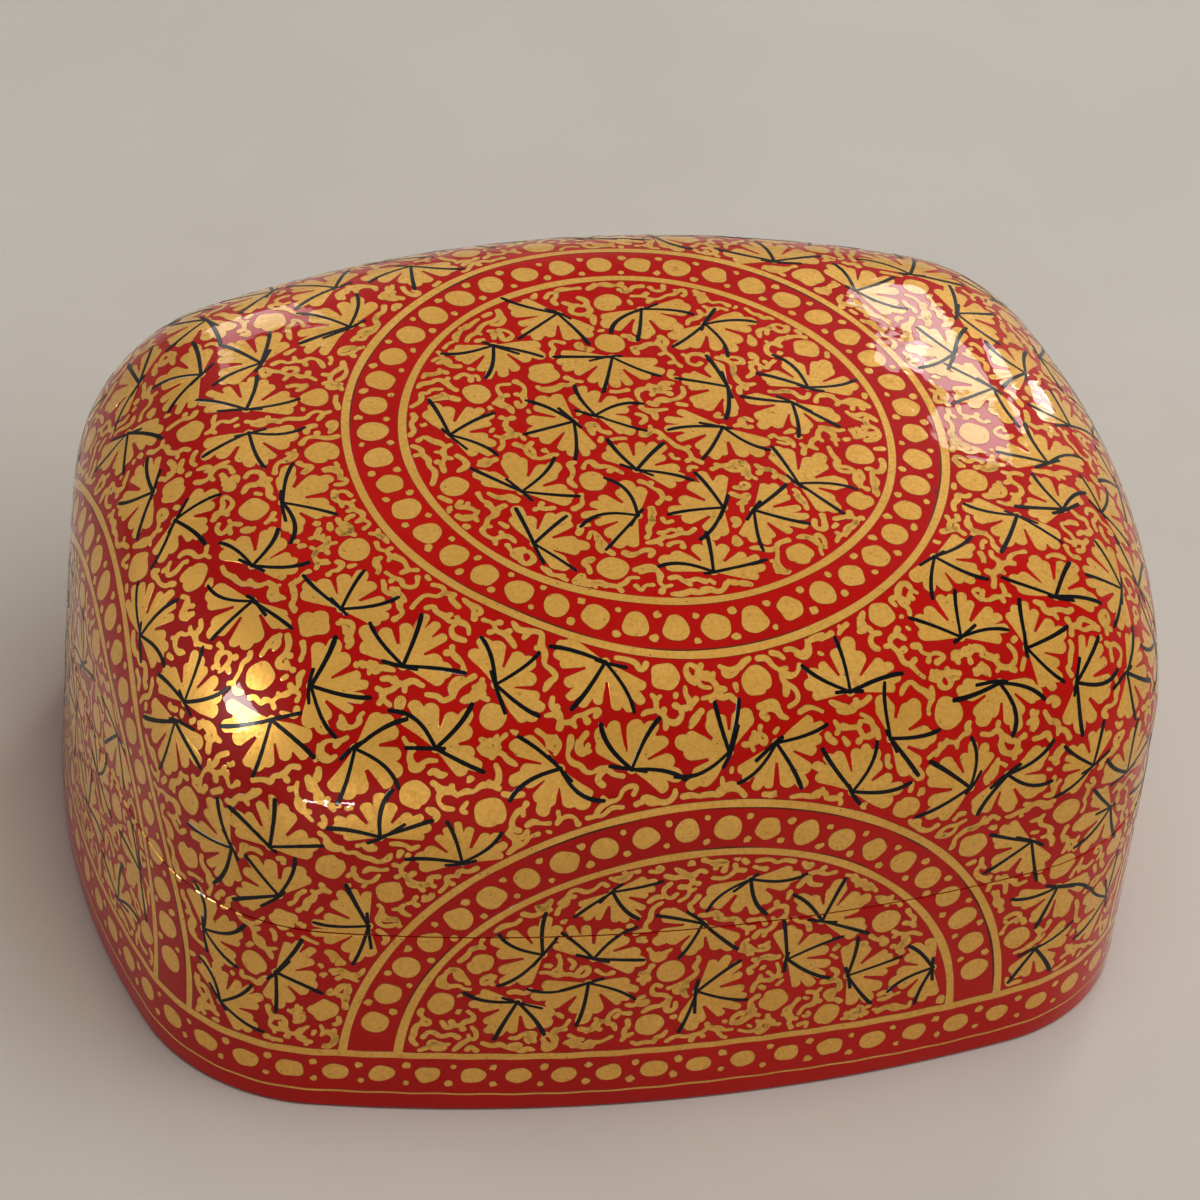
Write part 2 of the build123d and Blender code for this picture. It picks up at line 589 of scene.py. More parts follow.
def grow(start, way, steps):
    """Points of a zigzag that runs from a start over free ground."""
    path = [start]
    side = chance.choice([-1, 1])
    for _ in range(steps):
        point, normal = outside.nearest(path[-1])
        way = way - normal * (way @ normal)
        way /= np.linalg.norm(way)
        across = np.cross(normal, way)
        length = chance.uniform(*TWIG_STEP)
        turn = math.radians(chance.uniform(28, 72)) * side
        for angle, part in ((turn, 1), (-turn, 1), (turn * 0.4, 1), (turn * 1.6, 0.9),
                            (-turn * 1.6, 0.9), (turn, 0.6), (-turn, 0.6)):
            step = way * math.cos(angle) + across * math.sin(angle)
            end, _ = outside.nearest(point + step * length * part)
            apart = np.linalg.norm(np.array(path[:-1]) - end, axis=1) if len(path) > 1 else [9]
            if min(apart) > TWIG_CLEAR * 0.95 and wide.free([(point + end) / 2, end]):
                break
        else:
            return path
        path.append(end)
        way = step
        side = -np.sign(angle) if chance.random() < 0.8 else np.sign(angle)
    return path


def nubs(path):
    """Short side strokes at the bends of a twig."""
    for before, point, after in zip(path, path[1:], path[2:]):
        if chance.random() > 0.55:
            continue
        out = (point - before) / np.linalg.norm(point - before)
        out -= (after - point) / np.linalg.norm(after - point)
        out += chance.normal(size=3) * 0.25
        out /= np.linalg.norm(out) + 1e-9
        tip, _ = outside.nearest(point + out * chance.uniform(0.65, 1.0))
        if wide.free(tip):
            yield np.stack([point, tip])


def twig(seed, fewest, most):
    """A scroll grown both ways from a seed, if there is room for it."""
    _, normal = outside.nearest(seed)
    way, _ = tangents(normal, chance.random() * math.tau)
    steps = int(chance.integers(fewest, most + 1))
    ahead = grow(seed, way, steps)
    back = grow(seed, -way, max(steps - len(ahead) + 1, 1))
    path = np.array(back[:0:-1] + ahead)
    if len(path) < fewest:
        return
    parts = [path] + list(nubs(path))
    for branch in range(1, len(path) - 1):
        if chance.random() < 0.22:
            side = np.cross(outside.nearest(path[branch])[1], path[branch + 1] - path[branch - 1])
            grown = grow(path[branch], side * chance.choice([-1, 1]), 3)
            if len(grown) > 2:
                parts.append(np.array(grown))
    for part in parts:
        smooth = corners_cut(part, 2) if len(part) > 2 else part
        widths = TWIG_WIDTH * (1 + 0.20 * chance.normal(size=len(part)))
        places = np.linspace(0, len(part) - 1, len(smooth))
        widths = np.interp(places, np.arange(len(part)), np.clip(widths, 0.55, 1.1))
        stroke(layers["scrolls"], smooth, widths, GOLD_LIFT)
        tight.mark(smooth, 0.6)
        wide.mark(smooth, TWIG_CLEAR)


# ---------------------------------------------------------------- rings, arches and the border

RING_X = 1.6                # the ring on the crown isn't quite in the middle
RING_Y = -2.7
RING_RADII = (41.6, 33.9)
ARCH_LONG = ((47.0, 45.5), (39.5, 37.3))    # half widths and heights of the arches, outer and inner
ARCH_SHORT = ((43.1, 48.7), (35.7, 41.7))
BORDER_TOP = 10.6
BORDER_FOOT = 3.2
LINE_WIDTH = 1.15
FOOT_LINE_WIDTH = 0.32
RING_DOT = 1.95
BORDER_DOT = 1.68
RING_SPACING = 5.5
ARCH_SPACING = 5.75
BORDER_SPACING = 6.3


def ring_path(radius):
    turn = np.linspace(0, math.tau, 300, endpoint=False)
    wander = 0.14 * np.sin(3 * turn + radius) + 0.08 * np.sin(7 * turn + 2 * radius)
    return outside.below(RING_X + (radius + wander) * np.cos(turn),
                         RING_Y + (radius + wander) * np.sin(turn))


def arch_path(middle, wide_half, tall):
    turn = np.linspace(0.012, math.pi - 0.012, 170)
    wander = 0.16 * np.sin(5 * turn + middle + wide_half)
    return section(middle + (wide_half + wander) * np.cos(turn),
                   BORDER_TOP + (tall + wander) * np.sin(turn))


def level_path(up):
    along = np.linspace(0, PERIMETER, 420, endpoint=False)
    wander = 0.12 * np.sin(along * 9 * math.tau / PERIMETER) + 0.06 * np.sin(along * 0.9)
    return section(along, up + wander)


def evenly(path, spacing, closed):
    """Places at even steps along a path, with the direction of the path at each."""
    if closed:
        path = np.concatenate([path, path[:1]])
    reach = np.concatenate([[0], np.cumsum(np.linalg.norm(np.diff(path, axis=0), axis=1))])
    count = round(reach[-1] / spacing)
    places = np.arange(0.5, count) * reach[-1] / count

    def at(distance):
        distance = np.clip(distance, 0, reach[-1])
        return np.stack([np.interp(distance, reach, path[:, i]) for i in range(3)], -1)

    return at(places), at(places + 0.4) - at(places - 0.4)


def line(path, width, closed):
    """A gold line of uneven width."""
    place = np.linspace(0, math.tau, len(path), endpoint=not closed)
    widths = np.ones(len(path))
    for wave in (2, 5, 9, 17):
        widths += 0.055 * chance.normal() * np.cos(wave * place + chance.random() * 7)
    spots = stroke(layers["lines"], path, width * widths, GOLD_LIFT, closed=closed)
    tight.mark(spots, width / 2 + 0.3)
    wide.mark(spots, width / 2 + 0.65)


def painted_shade_lines(path, away, share):
    """Faint dark strokes beside a line, painted shade along its edge."""
    spots, normals = outside.drop(path)
    sides = np.cross(normals, np.gradient(spots, axis=0))
    sides /= np.linalg.norm(sides, axis=1)[:, None]
    start = int(chance.integers(0, 12))
    while start < len(path) - 12:
        count = int(chance.integers(10, 34))
        if chance.random() < share:
            part = (spots + sides * away)[start:start + count]
            widths = chance.uniform(0.14, 0.34) * np.sin(np.linspace(0.3, 2.9, len(part)))
            stroke(layers["painted_shade_lines"], part, widths, PAINTED_SHADE_LIFT, edge=0.05)
        start += count + int(chance.integers(2, 14))


def dot_row(path, spacing, radius, stretch, closed):
    """A row of dots along a band's middle, with a pair of small dots between neighbours."""
    centres, ahead = evenly(path, spacing, closed)
    for centre, way in zip(centres, ahead):
        blob(layers["dots"], centre, radius * chance.uniform(0.93, 1.06), long_way=way,
             stretch=stretch * chance.uniform(0.96, 1.04))
    last = len(centres) if closed else len(centres) - 1
    for place in range(last):
        after = (place + 1) % len(centres)
        middle, normal = outside.nearest((centres[place] + centres[after]) / 2)
        side = np.cross(normal, ahead[place])
        side /= np.linalg.norm(side)
        for way in (-1, 1):
            aside = way * radius * chance.uniform(0.88, 1.08)
            shift = ahead[place] * chance.normal() * 0.3
            spot, _ = outside.nearest(middle + side * aside + shift)
            blob(layers["dots"], spot, chance.uniform(0.42, 0.66), uneven=0.1)


def block_band(paths):
    """Keeps the ground of a band clear of the pattern that fills the rest."""
    for part in np.linspace(0, 1, 13):
        between = paths[0] * (1 - part) + paths[1] * part
        spots = outside.drop(between)[0]
        tight.mark(spots, 0.75)
        wide.mark(spots, 0.85)


def draw_bands():
    rings = [ring_path(radius) for radius in RING_RADII]
    block_band(rings)
    for path in rings:
        line(path, LINE_WIDTH, closed=True)
    dot_row(ring_path(sum(RING_RADII) / 2), RING_SPACING, RING_DOT, 0.99, closed=True)
    # painted shade beside the ring's two lines
    painted_shade_lines(rings[0], 0.72, 0.45)
    painted_shade_lines(rings[1], -0.72, 0.3)
    for side in range(4):
        middle = side * QUARTER
        sizes = ARCH_LONG if side % 2 == 0 else ARCH_SHORT
        arches = [arch_path(middle, *size) for size in sizes]
        block_band(arches)
        for path in arches:
            line(path, LINE_WIDTH, closed=False)
        half_way = (np.array(sizes[0]) + sizes[1]) / 2
        middle_path = arch_path(middle, *half_way)[4:-4]
        dot_row(middle_path, ARCH_SPACING, RING_DOT, 0.97, closed=False)
        # painted shade beside the arch's two lines
        painted_shade_lines(arches[0], 0.72, 0.5)
        painted_shade_lines(arches[1], -0.72, 0.4)
    line(level_path(BORDER_TOP), LINE_WIDTH, closed=True)
    line(level_path(BORDER_FOOT), FOOT_LINE_WIDTH, closed=True)
    border = level_path((BORDER_TOP + BORDER_FOOT) / 2)
    dot_row(border, BORDER_SPACING, BORDER_DOT, 1.12, closed=True)
    tight.fill_below(BORDER_TOP + 0.5)
    wide.fill_below(BORDER_TOP + 1.1)


# ---------------------------------------------------------------- the pattern that fills the rest


def scatter_leaves(tries, longest, shortest):
    for base in outside.scatter(tries, chance):
        if not tight.free(base):
            continue
        base, normal = outside.nearest(base)
        length = chance.uniform(shortest, longest)
        curl = chance.normal() * 0.10
        lobes = leaf_lobes()
        angles, reach = leaf_rim(lobes)
        tips = [disc for lobe in lobes for disc in lobe[1:]]
        middles = [lobe[0][0] for lobe in lobes]
        tested = np.array([direction for direction, _, _ in tips] + middles + [math.pi])
        away = [far + radius for _, far, radius in tips] + [1.06] * len(middles) + [HEEL * 2]
        away = np.array(away) * length
        for _ in range(4):
            first, second = tangents(normal, chance.random() * math.tau)
            if leaf_fits(base, first, second, tested + curl, away):
                leaf(base, first, second, length, curl, lobes, (angles, reach))
                break


def scatter_dots(tries, radius, spacing):
    """Dots with paint-free ground round them, no nearer to each other than a spacing."""
    placed = []
    for spot in outside.scatter(tries, chance):
        if not tight.free(spot):
            continue
        if placed and min(np.linalg.norm(np.array(placed) - spot, axis=1)) < spacing:
            continue
        spot, normal = outside.nearest(spot)
        size = radius * chance.uniform(0.88, 1.12)
        first, second = tangents(normal, 0)
        turn = np.arange(8) * math.tau / 8
        ring = spot + (size + 0.15) * (np.cos(turn)[:, None] * first + np.sin(turn)[:, None] * second)
        if tight.free(np.array([outside.nearest(p)[0] for p in ring])):
            painted = blob(layers["dots"], spot, size, 0.06, notches=int(chance.integers(0, 3)))
            tight.mark(painted, 0.4)
            wide.mark(painted, 0.74)
            placed.append(spot)


def scatter_twigs(tries, fewest, most):
    for seed in outside.scatter(tries, chance):
        if wide.free(seed):
            twig(outside.nearest(seed)[0], fewest, most)


def scatter_specks(tries):
    """Small dots and short strokes in the ground that is still free."""
    for spot in outside.scatter(tries, chance):
        if wide.free(spot):
            spot, _ = outside.nearest(spot)
            size = chance.uniform(0.34, 0.62)
            blob(layers["scrolls"], spot, size, uneven=0.14, stretch=chance.uniform(1, 1.35))
            tight.mark(spot[None, :], size + 0.3)
            wide.mark(spot[None, :], size + 0.7)


# the last layer holds painted shade: dark strokes beside the gold lines
layers = {name: [] for name in ("leaves", "veins", "dots", "scrolls", "lines", "painted_shade_lines")}
chance = np.random.default_rng(FIELD_SEED)
outside = Outside()
tight = Taken()             # paint and a narrow gap round it
wide = Taken()              # paint and room for the middle of a twig beside it

draw_bands()
scatter_leaves(8000, 7.7, 6.9)
scatter_leaves(8000, 7.0, 6.2)
scatter_dots(5000, 2.05, 9.0)
scatter_twigs(30000, 4, 9)
scatter_twigs(24000, 2, 4)
scatter_specks(24000)


# ---------------------------------------------------------------- materials


class Material:
    """A material's nodes, added one by one."""

    def __init__(self, name):
        self.material = bpy.data.materials.new(name)
        self.material.use_nodes = True
        self.tree = self.material.node_tree
        self.shader = self.tree.nodes["Principled BSDF"]
        self.place = self.add("ShaderNodeTexCoord").outputs["Object"]

    def add(self, kind, **inputs):
        node = self.tree.nodes.new(kind)
        for name, value in inputs.items():
            self.set(node, name.replace("_", " "), value)
        return node

    def set(self, node, name, value):
        socket = node.inputs[name]
        if isinstance(value, bpy.types.NodeSocket):
            self.tree.links.new(value, socket)
        else:
            socket.default_value = value

    def noise(self, size, detail=3.0, roughness=0.55, stretch=None):
        """Noise from 0 to 1 whose features are about this size, in millimetres."""
        place = self.place
        if stretch:
            mapping = self.add("ShaderNodeMapping", Vector=place, Scale=stretch)
            place = mapping.outputs["Vector"]
        noise = self.add("ShaderNodeTexNoise", Vector=place, Scale=1 / (size * MM),
                         Detail=detail, Roughness=roughness)
        return noise.outputs["Fac"]

    def spots(self, spacing, size):
        """1 in small spots this far apart and of this size, in millimetres, and 0 between."""
        cells = self.add("ShaderNodeTexVoronoi", Vector=self.place, Scale=1 / (spacing * MM))
        return self.ramp(cells.outputs["Distance"], size / spacing, size / spacing * 0.6)

    def ramp(self, value, low, high, first=0.0, last=1.0):
        """A value taken from first to last as the input goes from low to high."""
        node = self.add("ShaderNodeMapRange", Value=value, From_Min=low, From_Max=high,
                        To_Min=first, To_Max=last)
        return node.outputs["Result"]

    def mix(self, share, first, last):
        node = self.add("ShaderNodeMix")
        node.data_type = "RGBA"
        for name, value in (("Factor_Float", share), ("A_Color", first), ("B_Color", last)):
            socket = next(s for s in node.inputs if s.identifier == name)
            if isinstance(value, bpy.types.NodeSocket):
                self.tree.links.new(value, socket)
            else:
                socket.default_value = value
        return next(s for s in node.outputs if s.identifier == "Result_Color")

    def times(self, first, last):
        node = self.add("ShaderNodeMath")
        node.operation = "MULTIPLY"
        for socket, value in zip(node.inputs, (first, last)):
            if isinstance(value, bpy.types.NodeSocket):
                self.tree.links.new(value, socket)
            else:
                socket.default_value = value
        return node.outputs["Value"]

    def bump(self, height, depth, under=None):
        """A bump of a height this deep, in millimetres, on top of another bump."""
        node = self.add("ShaderNodeBump", Height=height, Strength=1.0, Distance=depth * MM)
        if under is not None:
            self.set(node, "Normal", under)
        return node.outputs["Normal"]

    def finish(self, **inputs):
        for name, value in inputs.items():
            self.set(self.shader, name.replace("_", " "), value)
        return self.material

    def lacquered(self, weight, roughness, **inputs):
        """Finishes the material under clear lacquer, whose face is the same on all the paints."""
        wavy = self.bump(self.noise(7.0, detail=1), 0.035)
        brushed = self.bump(self.noise(2.4, detail=1), 0.022, wavy)
        return self.finish(Coat_Weight=weight, Coat_Roughness=roughness, Coat_IOR=1.20,
                           Coat_Normal=brushed, **inputs)


def colour(red, green, blue):
    return (red, green, blue, 1.0)


def red_lacquer():
    m = Material("red_lacquer")
    cloudy = m.ramp(m.noise(24), 0.32, 0.68)
    red = m.mix(cloudy, colour(0.450, 0.0040, 0.0018), colour(0.540, 0.0060, 0.0024))
    mottle = m.ramp(m.noise(2.4, detail=5), 0.35, 0.72)
    red = m.mix(m.times(mottle, 0.35), red, colour(0.400, 0.0035, 0.0018))
    specks = m.spots(7.0, 0.45)
    red = m.mix(m.times(specks, 0.6), red, colour(0.13, 0.012, 0.006))
    wavy = m.bump(m.noise(7.0, detail=1), 0.035)
    fine = m.bump(m.noise(1.1, detail=2), 0.006, wavy)
    rough = m.ramp(m.noise(3.0), 0.3, 0.7, 0.34, 0.48)
    return m.lacquered(1.0, 0.025, Base_Color=red, Roughness=rough, Normal=fine,
                       Specular_IOR_Level=0.05)


def gold_paint():
    m = Material("gold_paint")
    broad = m.ramp(m.noise(9.0), 0.32, 0.68)
    gold = m.mix(broad, colour(0.770, 0.405, 0.072), colour(0.860, 0.475, 0.104))
    grains = m.ramp(m.noise(0.55, detail=4, roughness=0.7), 0.38, 0.66)
    gold = m.mix(m.times(grains, 0.6), gold, colour(0.590, 0.275, 0.040))
    thin = m.ramp(m.noise(1.6, detail=4, roughness=0.65), 0.64, 0.74)
    gold = m.mix(m.times(thin, 0.55), gold, colour(0.330, 0.135, 0.025))
    specks = m.spots(1.9, 0.16)
    gold = m.mix(m.times(specks, 0.75), gold, colour(0.090, 0.045, 0.015))
    brushed = m.bump(m.noise(0.5, detail=3, stretch=(1.0, 0.35, 1.0)), 0.018)
    wavy = m.bump(m.noise(5.0, detail=2), 0.035, brushed)
    rough = m.ramp(grains, 0.0, 1.0, 0.38, 0.54)
    return m.lacquered(1.0, 0.03, Base_Color=gold, Roughness=rough, Normal=wavy, Metallic=0.29,
                       Specular_IOR_Level=0.1)


def dark_edge():
    m = Material("dark_edge")
    uneven = m.ramp(m.noise(1.2), 0.35, 0.65, 0.3, 0.5)
    return m.lacquered(0.35, 0.08, Base_Color=colour(0.095, 0.020, 0.008), Roughness=uneven,
                       Normal=m.bump(m.noise(0.6), 0.01), Specular_IOR_Level=0.1)


def black_paint():
    m = Material("black_paint")
    worn = m.ramp(m.noise(0.7, detail=4, roughness=0.7), 0.62, 0.76)
    black = m.mix(m.times(worn, 0.5), colour(0.006, 0.006, 0.007), colour(0.055, 0.042, 0.022))
    rough = m.ramp(m.noise(1.5), 0.3, 0.7, 0.3, 0.45)
    return m.lacquered(0.5, 0.07, Base_Color=black, Roughness=rough,
                       Normal=m.bump(m.noise(0.8, detail=3), 0.02), Specular_IOR_Level=0.1)


def black_lacquer(name, base, rough_low, rough_high, fibre):
    """The black inside, where pressed paper shows a little through the lacquer."""
    m = Material(name)
    cloudy = m.ramp(m.noise(13.0), 0.3, 0.7)
    black = m.mix(cloudy, base, colour(*(1.9 * c for c in base[:3])))
    dusty = m.ramp(m.noise(1.3, detail=5, roughness=0.7), 0.6, 0.8)
    black = m.mix(m.times(dusty, 0.35), black, colour(0.050, 0.040, 0.032))
    paper = m.bump(m.noise(2.6, detail=4, stretch=(1.0, 0.6, 1.0)), fibre)
    grain = m.bump(m.noise(0.5, detail=2), fibre * 0.18, paper)
    rough = m.ramp(m.noise(4.0, detail=4), 0.3, 0.7, rough_low, rough_high)
    return m.finish(Base_Color=black, Roughness=rough, Normal=grain,
                    Coat_Weight=0.35, Coat_Roughness=0.18)


# ---------------------------------------------------------------- the lacquered coat

INNER_FACE = 0.55           # from the outside to the coat's hidden inner face
SEAM_GAP = 0.06             # each rim stops this short of the seam
FOOT_LIP = 0.06             # the base's coat stops this far above the table
PAINT_STOP = 0.10           # paint ends this far from the seam
EDGE_END = SEAM_GAP + EDGE_ROUND    # how far from the seam the softened edges end


def edge_inset(depth):
    """How far in the coat's softened edge is, this far from its rim."""
    inside = EDGE_ROUND - np.clip(depth, 0, EDGE_ROUND)
    return EDGE_ROUND - np.sqrt(EDGE_ROUND**2 - inside**2)


def rounded_edge(radius, steps):
    """Inset and distance from the rim of points round a softened edge, from the rim outwards."""
    turn = np.linspace(0, math.pi / 2, steps)
    return zip(radius * (1 - np.sin(turn)), radius * (1 - np.cos(turn)))


def moved_in(rows, depth):
    """Rows of points moved in by a depth along the outside's normals."""
    moved = []
    for row in rows:
        _, normals = outside.drop(row)
        moved.append(row - normals * depth)
    return moved


def lid_coat(material):
    """The lid's coat: down the hidden inner face, round the rim and up over the outside."""
    along = columns_along()
    rows = outside_rows(along, SEAM + EDGE_END)
    rim = SEAM + SEAM_GAP
    edge = [inset_row(along, inset, rim + up) for inset, up in rounded_edge(EDGE_ROUND, 5)][:-1]
    inner = moved_in([np.zeros((1, 3)) + row for row in rows[:1] + rows[8::4]], INNER_FACE)
    rows = inner[::-1] + [inset_row(along, INNER_FACE, rim)] + edge + rows
    tips = np.array([[0, 0, HEIGHT - INNER_FACE], [0, 0, HEIGHT]])
    points = np.concatenate(rows + [tips])
    faces = grid(len(rows), COLUMNS).tolist()
    faces += fan(len(points) - 2, 0, COLUMNS, upright=False).tolist()
    faces += fan(len(points) - 1, (len(rows) - 1) * COLUMNS, COLUMNS).tolist()
    return make_mesh("lid_lacquer", points, faces, [material])


def base_coat(material):
    """The base's coat: a thin wall with softened edges at the seam and at the foot."""
    along = columns_along()

    def row(inset, z):
        return inset_row(along, inset + float(wall_inset(z)), z)

    rim = SEAM - SEAM_GAP
    foot_edge = [row(inset, FOOT_LIP + up) for inset, up in rounded_edge(FOOT_ROUND - 0.2, 6)]
    levels = np.linspace(FOOT_LIP + FOOT_ROUND - 0.2, SEAM - EDGE_END, 9)[1:-1]
    walls = [row(0.0, z) for z in levels]
    seam_edge = [row(inset, rim - down) for inset, down in rounded_edge(EDGE_ROUND, 5)][::-1]
    inner = [row(INNER_FACE, z) for z in (rim, SEAM / 2, FOOT_LIP)]
    rows = foot_edge + walls + seam_edge + inner
    faces = grid(len(rows), COLUMNS, round_rows=True).tolist()
    return make_mesh("base_lacquer", np.concatenate(rows), faces, [material])


# ---------------------------------------------------------------- painted pieces

MAP_REACH = 140.0           # a little more than the way from the crown's centre down to a corner
STRIPS = 4                  # a base piece's map is a strip for each quarter of the outline
STRIP_MARGIN = 6.0


def gather(shapes):
    """One set of points, triangles and slots from many shapes."""
    starts = np.cumsum([0] + [len(points) for points, _, _ in shapes[:-1]])
    points = np.concatenate([points for points, _, _ in shapes])
    triangles = np.concatenate([s[1] + start for s, start in zip(shapes, starts)])
    return points, triangles, np.concatenate([slots for _, _, slots in shapes])


def cut_at_seam(shape, up):
    """The part of some shapes above or below the seam, bent in round the coat's softened edge."""
    points, triangles, slots = shape
    mesh = bmesh.new()
    corners = [mesh.verts.new(p) for p in points.tolist()]
    for (a, b, c), slot in zip(triangles.tolist(), slots.tolist()):
        mesh.faces.new((corners[a], corners[b], corners[c])).material_index = slot
    for depth in (EDGE_END, (EDGE_END + PAINT_STOP) / 2, PAINT_STOP):
        geometry = mesh.verts[:] + mesh.edges[:] + mesh.faces[:]
        bmesh.ops.bisect_plane(mesh, geom=geometry, dist=1e-5, plane_co=(0, 0, SEAM + up * depth),
                               plane_no=(0, 0, up), clear_inner=depth == PAINT_STOP)
    bmesh.ops.triangulate(mesh, faces=mesh.faces[:])
    mesh.verts.index_update()
    points = np.array([v.co for v in mesh.verts])
    triangles = np.array([[v.index for v in f.verts] for f in mesh.faces])
    slots = np.array([f.material_index for f in mesh.faces])
    mesh.free()
    depths = np.abs(points[:, 2] - SEAM)
    near = depths < EDGE_END
    _, normals = outside.drop(points[near])
    points[near] -= normals * edge_inset(depths[near] - SEAM_GAP)[:, None]
    return points, triangles, slots


def along_of(points):
    """Distances along the outline of the places that face the points from the middle."""
    along = np.linspace(0, PERIMETER, 2000)
    position, _ = outline(along)
    angle = np.unwrap(np.arctan2(position[:, 1], position[:, 0]))
    wanted = np.arctan2(points[:, 1], points[:, 0]) - angle[0]
    return np.interp(np.mod(wanted, math.tau), angle - angle[0], along)


def lid_map(points, triangles):
    """Places in a map flattened from the crown's centre outwards, for each corner."""
    away = np.hypot(points[:, 0], points[:, 1])
    stretch = (away + HEIGHT - points[:, 2]) / MAP_REACH / np.maximum(away, 1e-6)
    return (0.5 + points[:, :2] * stretch[:, None] / 2)[triangles.ravel()]


def base_map(points, triangles):
    """Places in a map of four strips of the wall, one above the other, for each corner."""
    along = along_of(points)[triangles]
    along += PERIMETER * np.round((along[:, :1] - along) / PERIMETER)
    strip = np.floor(np.clip(along[:, :1], 0, PERIMETER - 1e-6) / QUARTER)
    sideways = (along - strip * QUARTER + STRIP_MARGIN) / (QUARTER + 2 * STRIP_MARGIN)
    up = (points[:, 2][triangles] + 1) / (SEAM + 2)
    return np.stack([sideways, (strip + up) / STRIPS], -1).reshape(-1, 2)


def lay(kind, materials):
    """Makes a layer's painted pieces, one on the lid and one on the base."""
    for body, up, flatten in (("lid", 1, lid_map), ("base", -1, base_map)):
        heights = [up * (points[:, 2] - SEAM) for points, _, _ in layers[kind]]
        clear = [s for s, h in zip(layers[kind], heights) if h.min() > EDGE_END]
        crossing = [s for s, h in zip(layers[kind], heights)
                    if h.min() <= EDGE_END and h.max() > PAINT_STOP]
        if crossing:
            clear.append(cut_at_seam(gather(crossing), up))
        if not clear:
            continue
        points, triangles, slots = gather(clear)
        slots = np.minimum(slots, len(materials) - 1)
        piece = make_mesh(f"{body}_{kind}", points, triangles.tolist(), materials, slots)
        layout = piece.data.uv_layers.new(name="OFBake")
        layout.data.foreach_set("uv", flatten(points, triangles).ravel())
        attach(piece, body)
        print(piece.name, len(triangles))


# ---------------------------------------------------------------- the whole box

red = red_lacquer()
gold = gold_paint()
edge = dark_edge()
black = black_paint()

for make, body, node in ((lid_coat, "lid", "lid_coat"), (base_coat, "base", "base_coat")):
    coat = make(red)
    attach(coat, body)
    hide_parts(node)

for kind in ("leaves", "dots", "scrolls", "lines"):
    lay(kind, [gold, edge])
lay("veins", [black])
# the dark strokes beside the gold lines are painted shade
lay("painted_shade_lines", [edge])

inside = black_lacquer("black_lacquer", colour(0.010, 0.0095, 0.010), 0.32, 0.5, 0.10)
for node in ("lid_shell", "base_wall", "base_floor", "locating_collar"):
    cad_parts[node].data.materials[0] = inside

# ---------------------------------------------------------------- floor, light and camera

FLOOR_REACH = 6.0
FLOOR_DROP = 0.00005        # the floor lies a hair below the underside


def floor():
    m = Material("pale_floor")
    pale = m.mix(m.ramp(m.noise(60.0), 0.35, 0.65), colour(0.59, 0.54, 0.475), colour(0.62, 0.57, 0.505))
    material = m.finish(Base_Color=pale, Roughness=0.7, Normal=m.bump(m.noise(4.0), 0.05))
    mesh = bpy.data.meshes.new("floor")
    corners = [(-1, -1), (1, -1), (1, 1), (-1, 1)]
    points = [(x * FLOOR_REACH, y * FLOOR_REACH, -FLOOR_DROP) for x, y in corners]
    mesh.from_pydata(points, [], [(0, 1, 2, 3)])
    mesh.materials.append(material)
    piece = bpy.data.objects.new("floor", mesh)
    bpy.context.scene.collection.objects.link(piece)
    piece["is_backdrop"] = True


# The window behind the box shines through leaves, in patches: azimuth, elevation, size in metres.
PATCHES = (
    (151.5, 26.0, (0.07, 0.08)),
    (150.5, 30.5, (0.04, 0.05)),
    (147.5, 29.5, (0.09, 0.09)),
    (141.5, 19.5, (0.07, 0.14)),
    (136.0, 8.0, (0.05, 0.16)),
    (144.5, 34.5, (0.08, 0.08)),
    (139.5, 26.0, (0.05, 0.07)),
)
PATCH_GLOW = 34.0           # watts to each square metre of a patch's length times its width


def softbox(name, azimuth, elevation, distance, size, power, mirrored=True, mirrored_only=False,
            shape="RECTANGLE"):
    """A lamp that faces the box. Azimuth turns from -Y towards +X, both angles in degrees."""
    a, e = math.radians(azimuth), math.radians(elevation)
    way = Vector((math.sin(a) * math.cos(e), -math.cos(a) * math.cos(e), math.sin(e)))
    lamp = bpy.data.lights.new(name, "AREA")
    lamp.shape = shape
    lamp.size, lamp.size_y = size
    lamp.energy = power
    piece = bpy.data.objects.new(name, lamp)
    piece.location = Vector((0, 0, 0.04)) + way * distance
    piece.rotation_mode = "QUATERNION"
    piece.rotation_quaternion = way.to_track_quat("Z", "Y")
    piece.visible_glossy = mirrored
    piece.visible_diffuse = not mirrored_only
    bpy.context.scene.collection.objects.link(piece)


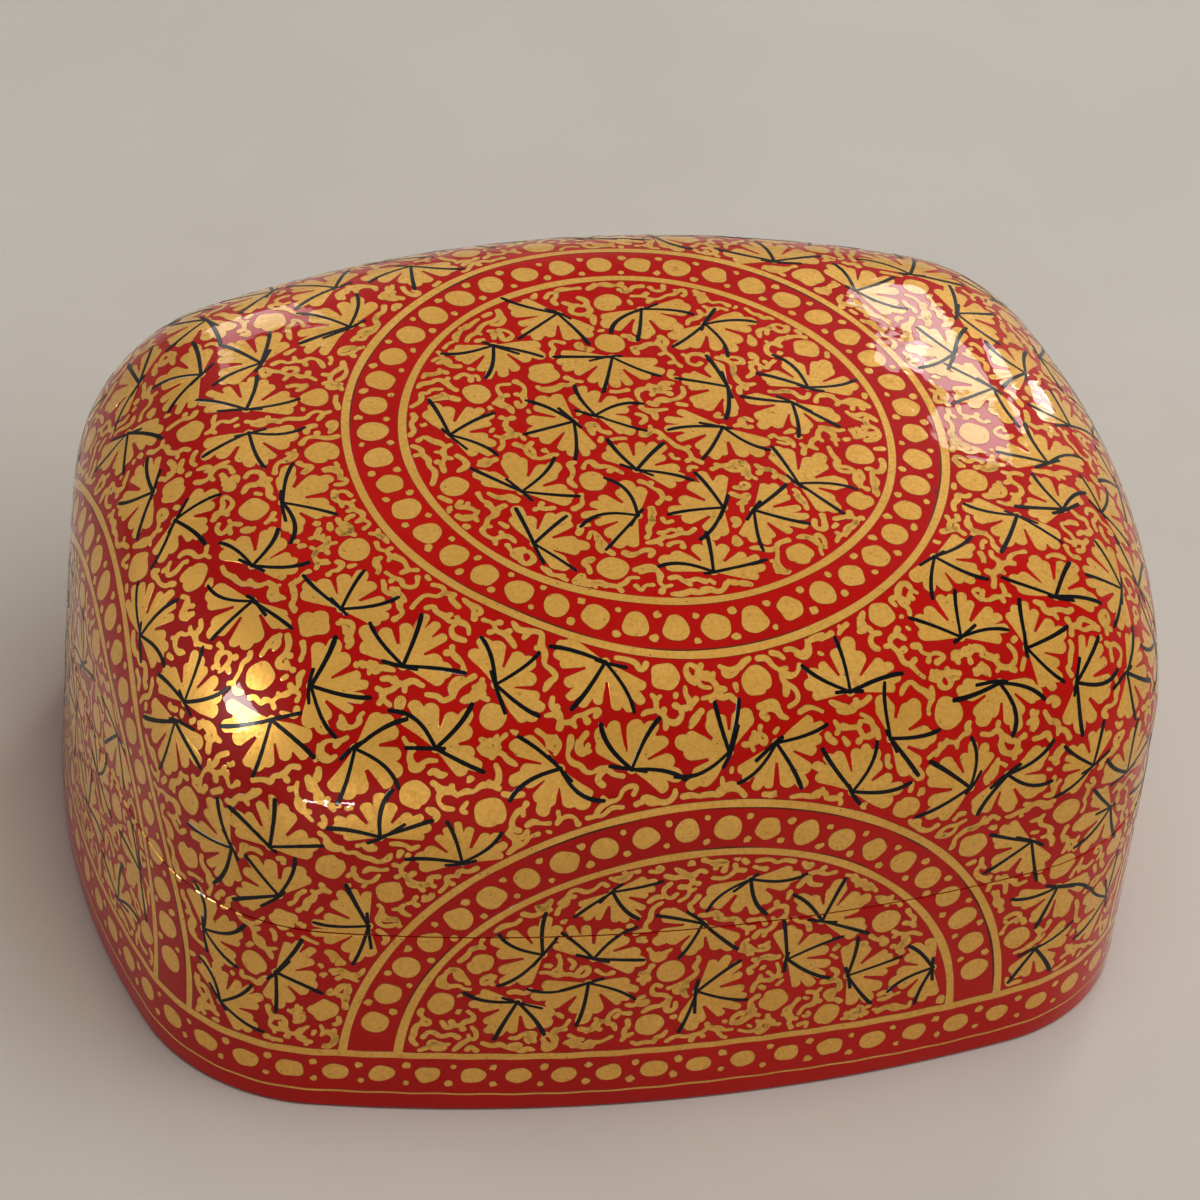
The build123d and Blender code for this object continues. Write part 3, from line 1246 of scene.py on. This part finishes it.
def surroundings():
    """A room that is pale near the horizon and darker overhead."""
    world = bpy.data.worlds.new("room")
    bpy.context.scene.world = world
    world.use_nodes = True
    nodes, links = world.node_tree.nodes, world.node_tree.links
    place = nodes.new("ShaderNodeTexCoord").outputs["Generated"]
    split = nodes.new("ShaderNodeSeparateXYZ")
    links.new(place, split.inputs[0])
    ramp = nodes.new("ShaderNodeValToRGB")
    links.new(split.outputs["Z"], ramp.inputs["Fac"])
    ramp.color_ramp.elements[0].position = 0.10
    ramp.color_ramp.elements[0].color = (0.42, 0.39, 0.34, 1)
    ramp.color_ramp.elements[1].position = 0.45
    ramp.color_ramp.elements[1].color = (0.055, 0.055, 0.055, 1)
    background = nodes["Background"]
    links.new(ramp.outputs["Color"], background.inputs["Color"])
    background.inputs["Strength"].default_value = 1.0


CAMERA_PLACE = (-0.27157, -0.90000, 0.86340)
CAMERA_YAW = math.radians(16.70)        # from +Y towards +X
CAMERA_PITCH = math.radians(41.13)      # downwards
CAMERA_ROLL = math.radians(6.63)
CAMERA_LENS = 266.8                     # on a sensor 36 mm wide


def photographer():
    level = Vector((math.sin(CAMERA_YAW), math.cos(CAMERA_YAW), 0))
    forward = level * math.cos(CAMERA_PITCH) - Vector((0, 0, math.sin(CAMERA_PITCH)))
    right = forward.cross(Vector((0, 0, 1))).normalized()
    up = right.cross(forward)
    tilted_right = right * math.cos(CAMERA_ROLL) + up * math.sin(CAMERA_ROLL)
    tilted_up = up * math.cos(CAMERA_ROLL) - right * math.sin(CAMERA_ROLL)
    data = bpy.data.cameras.new("camera")
    data.sensor_width = 36.0
    data.lens = CAMERA_LENS
    piece = bpy.data.objects.new("camera", data)
    turn = Matrix((tilted_right, tilted_up, -forward)).transposed()
    piece.matrix_world = Matrix.Translation(CAMERA_PLACE) @ turn.to_4x4()
    bpy.context.scene.collection.objects.link(piece)
    bpy.context.scene.camera = piece


floor()
surroundings()
softbox("window_left", -85, 27, 0.9, (0.36, 0.19), 11.0, mirrored_only=True)
for azimuth, elevation, size in PATCHES:
    glow = PATCH_GLOW * size[0] * size[1]
    softbox("window_back", azimuth, elevation, 0.9, size, glow, shape="ELLIPSE")
softbox("window_front", -24, 2, 0.9, (0.25, 0.02), 1.8, mirrored_only=True)
softbox("window_far", -174, 23, 0.9, (0.18, 0.30), 1.0, mirrored_only=True)
softbox("overhead", 45, 70, 1.2, (1.2, 1.2), 12.0, mirrored=False)
softbox("side", 75, 25, 1.2, (1.2, 1.2), 2.0, mirrored=False)
softbox("fill", -130, 25, 1.2, (1.2, 1.2), 1.5, mirrored=False)
photographer()
bpy.context.scene.view_settings.view_transform = "Standard"

[[list(corner) for corner in box] for box in (cad_bounds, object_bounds())]
